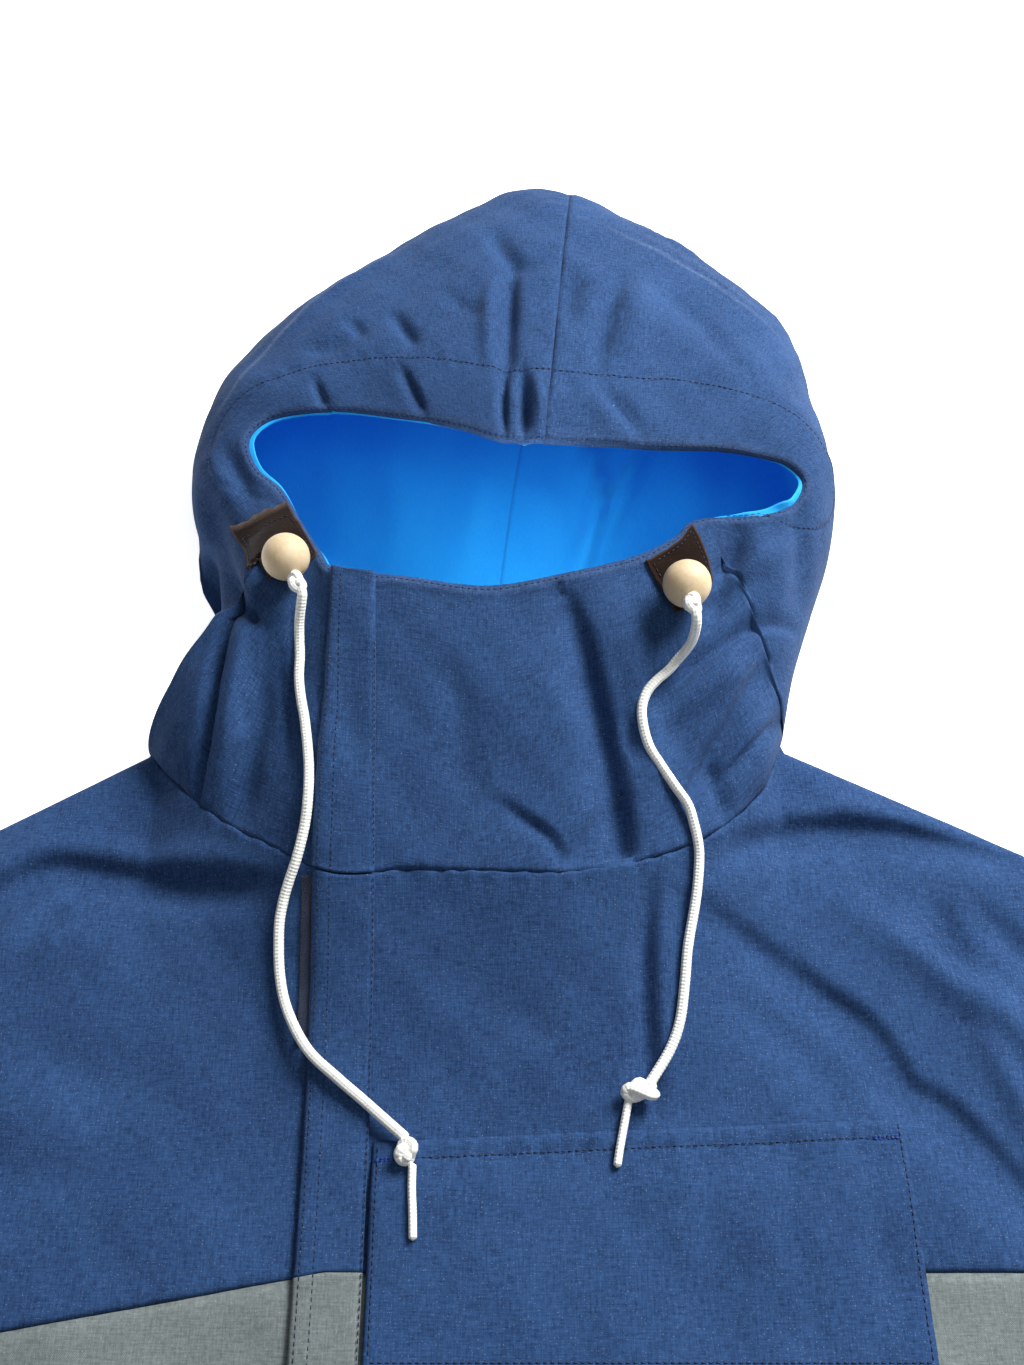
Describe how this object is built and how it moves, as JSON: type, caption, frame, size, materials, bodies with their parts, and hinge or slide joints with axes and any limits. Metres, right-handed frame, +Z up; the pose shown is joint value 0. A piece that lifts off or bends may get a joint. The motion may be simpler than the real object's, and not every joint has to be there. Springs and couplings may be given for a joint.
{
  "type": "hooded anorak pullover",
  "caption": "Hooded anorak pullover lying on its back, hood puffed open, with an off-centre placket, a chest flap pocket, a colour-blocked lower body and corded wooden beads at the hood.",
  "frame": {"origin": "On the underside of the back, on the garment's centre line, level with the front neck seam", "axes": "+Y from the hem towards the hood, +X towards the wearer's left, +Z up from the surface it lies on"},
  "size_m": [1.3586, 1.0972, 0.109],
  "materials": {
    "navy_cotton": "matte dense plain weave",
    "grey_cotton": "matte dense plain weave",
    "azure_lining": "smooth fine weave",
    "brown_suede": "napped suede",
    "pale_wood": "sanded, unvarnished",
    "white_cord": "round braid",
    "loop_tape": "fuzzy loop pile"
  },
  "bodies": {
    "root": {"back_upper": "navy_cotton", "back_lower": "grey_cotton", "front_upper_left": "navy_cotton", "front_upper_right": "navy_cotton", "front_lower_left": "grey_cotton", "front_lower_right": "grey_cotton", "sleeve_left": "navy_cotton", "sleeve_right": "navy_cotton", "hood_left": "navy_cotton", "hood_right": "navy_cotton", "hood_lining_left": "azure_lining", "hood_lining_right": "azure_lining", "placket_collar": "navy_cotton", "placket_chest": "navy_cotton", "placket_lower": "grey_cotton", "loop_tape": "loop_tape", "pocket": "navy_cotton", "pocket_flap": "navy_cotton", "patch_left": "brown_suede", "patch_right": "brown_suede", "bead_left": "pale_wood", "bead_right": "pale_wood", "bead_knot_left": "white_cord", "bead_knot_right": "white_cord", "cord_left": "white_cord", "cord_right": "white_cord", "end_knot_left": "white_cord", "end_knot_right": "white_cord", "cord_tip_left": "white_cord", "cord_tip_right": "white_cord"}
  },
  "joints": []
}
